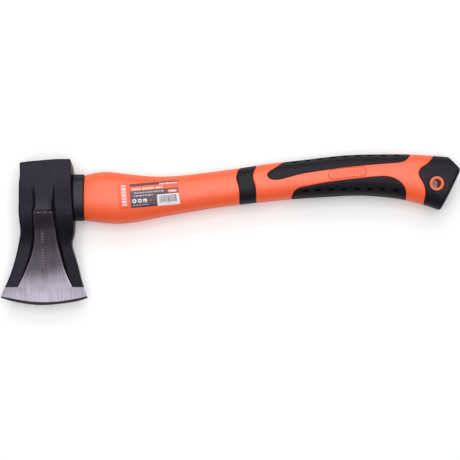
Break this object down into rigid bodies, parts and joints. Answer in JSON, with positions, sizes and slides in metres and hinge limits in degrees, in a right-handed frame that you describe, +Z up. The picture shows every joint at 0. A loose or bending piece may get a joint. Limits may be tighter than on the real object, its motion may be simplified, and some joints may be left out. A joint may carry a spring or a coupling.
{
  "type": "felling axe",
  "caption": "Short-handled felling axe: forged wedge head with a ground rib and bit, bonded glass-fibre core, two-material moulded grip and a hang hole at the butt.",
  "frame": {"origin": "centre of the bounding box in plan, on the plane of the head's lower cheek (the bottom of the bounding box)", "axes": "+X along the handle from the head to the butt, +Y towards the poll (the cutting edge faces -Y), +Z up through the thickness"},
  "size_m": [0.4351, 0.1435, 0.037],
  "materials": {
    "head_steel": "black powder coat with bare ground steel on the rib and bit",
    "fibreglass": "pultruded glass fibre",
    "epoxy": "cast resin",
    "seal_rubber": "matt",
    "collar_rubber": "satin",
    "orange_plastic": "satin moulded",
    "grip_rubber": "soft satin",
    "label_film": "printed film",
    "sticker_film": "printed film"
  },
  "bodies": {
    "root": {"axe_head": "head_steel", "fibreglass_core": "fibreglass", "eye_epoxy": "epoxy", "eye_seal_ring": "seal_rubber", "neck_collar": "collar_rubber", "handle_shell": "orange_plastic", "grip_band": "grip_rubber", "upper_grip_pad": "grip_rubber", "lower_grip_pad": "grip_rubber", "butt_cap": "grip_rubber", "hang_eyelet": "orange_plastic", "product_label": "label_film", "barcode_label": "sticker_film"}
  },
  "joints": []
}
